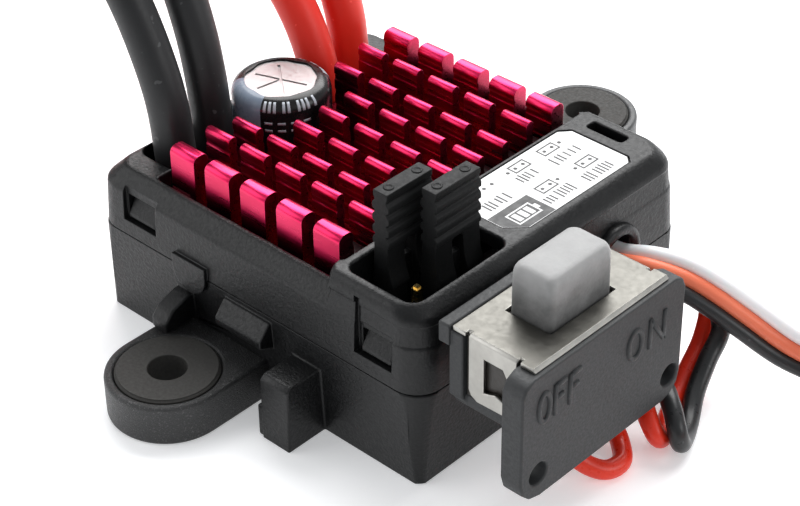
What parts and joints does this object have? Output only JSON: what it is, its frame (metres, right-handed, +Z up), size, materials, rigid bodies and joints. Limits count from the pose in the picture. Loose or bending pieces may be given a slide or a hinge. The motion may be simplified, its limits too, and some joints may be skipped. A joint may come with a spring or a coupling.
{
  "type": "electronic speed controller",
  "caption": "Small brushed-motor speed controller with an anodised pin-fin heat sink, sliding mounting ears, jumper caps, a slide switch, power wires and a receiver lead.",
  "frame": {"origin": "centre of the case's footprint on its flat underside", "axes": "+Z up from the underside; +X from the power-wire end towards the label and switch end; +Y towards the far mounting ear"},
  "size_m": [0.1521, 0.0705, 0.0352],
  "materials": {
    "case_plastic": "fine grained moulded plastic",
    "ear_plastic": "speckled glass-filled plastic",
    "anodised_red": "bright dyed anodised",
    "thermal_silicone": "matte",
    "board_green": "solder mask",
    "chip_black": "satin epoxy",
    "can_aluminium": "drawn, fine grain",
    "sleeve_black": "shrunk film",
    "bung_rubber": "matte",
    "tinned_metal": "tinned",
    "header_plastic": "satin",
    "gold_plate": "plated",
    "label_print": "printed film",
    "grommet_rubber": "matte",
    "jumper_plastic": "moulded",
    "spring_bronze": "rolled",
    "holder_plastic": "fine grained",
    "switch_steel": "stamped, nickel plated",
    "switch_phenolic": "moulded",
    "boot_silicone": "translucent silicone, alpha 1",
    "wire_black": "silicone insulation",
    "wire_red": "silicone insulation",
    "plug_red": "glass-filled nylon",
    "ribbon": "three-core flat lead: white, red, black",
    "shrink_black": "heat-shrink",
    "shrink_red": "heat-shrink"
  },
  "bodies": {
    "controller": {"lower_case": "case_plastic", "upper_case": "case_plastic", "heat_sink": "anodised_red", "thermal_pad": "thermal_silicone", "circuit_board": "board_green", "power_transistors": "chip_black", "control_chips": "chip_black", "capacitor_can": "can_aluminium", "capacitor_sleeve": "sleeve_black", "capacitor_bung": "bung_rubber", "capacitor_leads": "tinned_metal", "pin_header_base": "header_plastic", "header_pins": "gold_plate", "label": "label_print", "switch_holder": "holder_plastic", "switch_frame": "switch_steel", "switch_base": "switch_phenolic", "switch_terminals": "tinned_metal", "switch_boot": "boot_silicone", "battery_wire_black": "wire_black", "motor_wire_black": "wire_black", "motor_wire_red": "wire_red", "battery_wire_red": "wire_red", "battery_plug": "plug_red", "battery_plug_contacts": "gold_plate", "motor_bullet_black": "gold_plate", "motor_bullet_red": "gold_plate", "motor_sleeve_black": "shrink_black", "motor_sleeve_red": "shrink_red", "receiver_lead": "ribbon", "receiver_hank": "ribbon", "receiver_plug": "jumper_plastic", "receiver_plug_contacts": "gold_plate", "switch_lead_red": "wire_red", "switch_lead_black": "wire_black"},
    "front_ear": {"front_ear": "ear_plastic", "front_grommet": "grommet_rubber"},
    "rear_ear": {"rear_ear": "ear_plastic", "rear_grommet": "grommet_rubber"},
    "mode_jumper": {"mode_jumper": "jumper_plastic", "mode_jumper_clip": "spring_bronze"},
    "battery_jumper": {"battery_jumper": "jumper_plastic", "battery_jumper_clip": "spring_bronze"},
    "switch_slider": {"switch_slider": "jumper_plastic"}
  },
  "joints": [
    {"name": "front_ear_slide", "type": "slide", "parent": "controller", "child": "front_ear", "axis": [0, -1, 0], "range_m": [0, 0.008]},
    {"name": "rear_ear_slide", "type": "slide", "parent": "controller", "child": "rear_ear", "axis": [0, -1, 0], "range_m": [0, 0.008]},
    {"name": "mode_jumper_pull", "type": "slide", "parent": "controller", "child": "mode_jumper", "axis": [0, 0, 1], "range_m": [0, 0.012]},
    {"name": "battery_jumper_pull", "type": "slide", "parent": "controller", "child": "battery_jumper", "axis": [0, 0, 1], "range_m": [0, 0.012]},
    {"name": "switch_slide", "type": "slide", "parent": "controller", "child": "switch_slider", "axis": [0, 1, 0], "range_m": [0, 0.0022]}
  ]
}
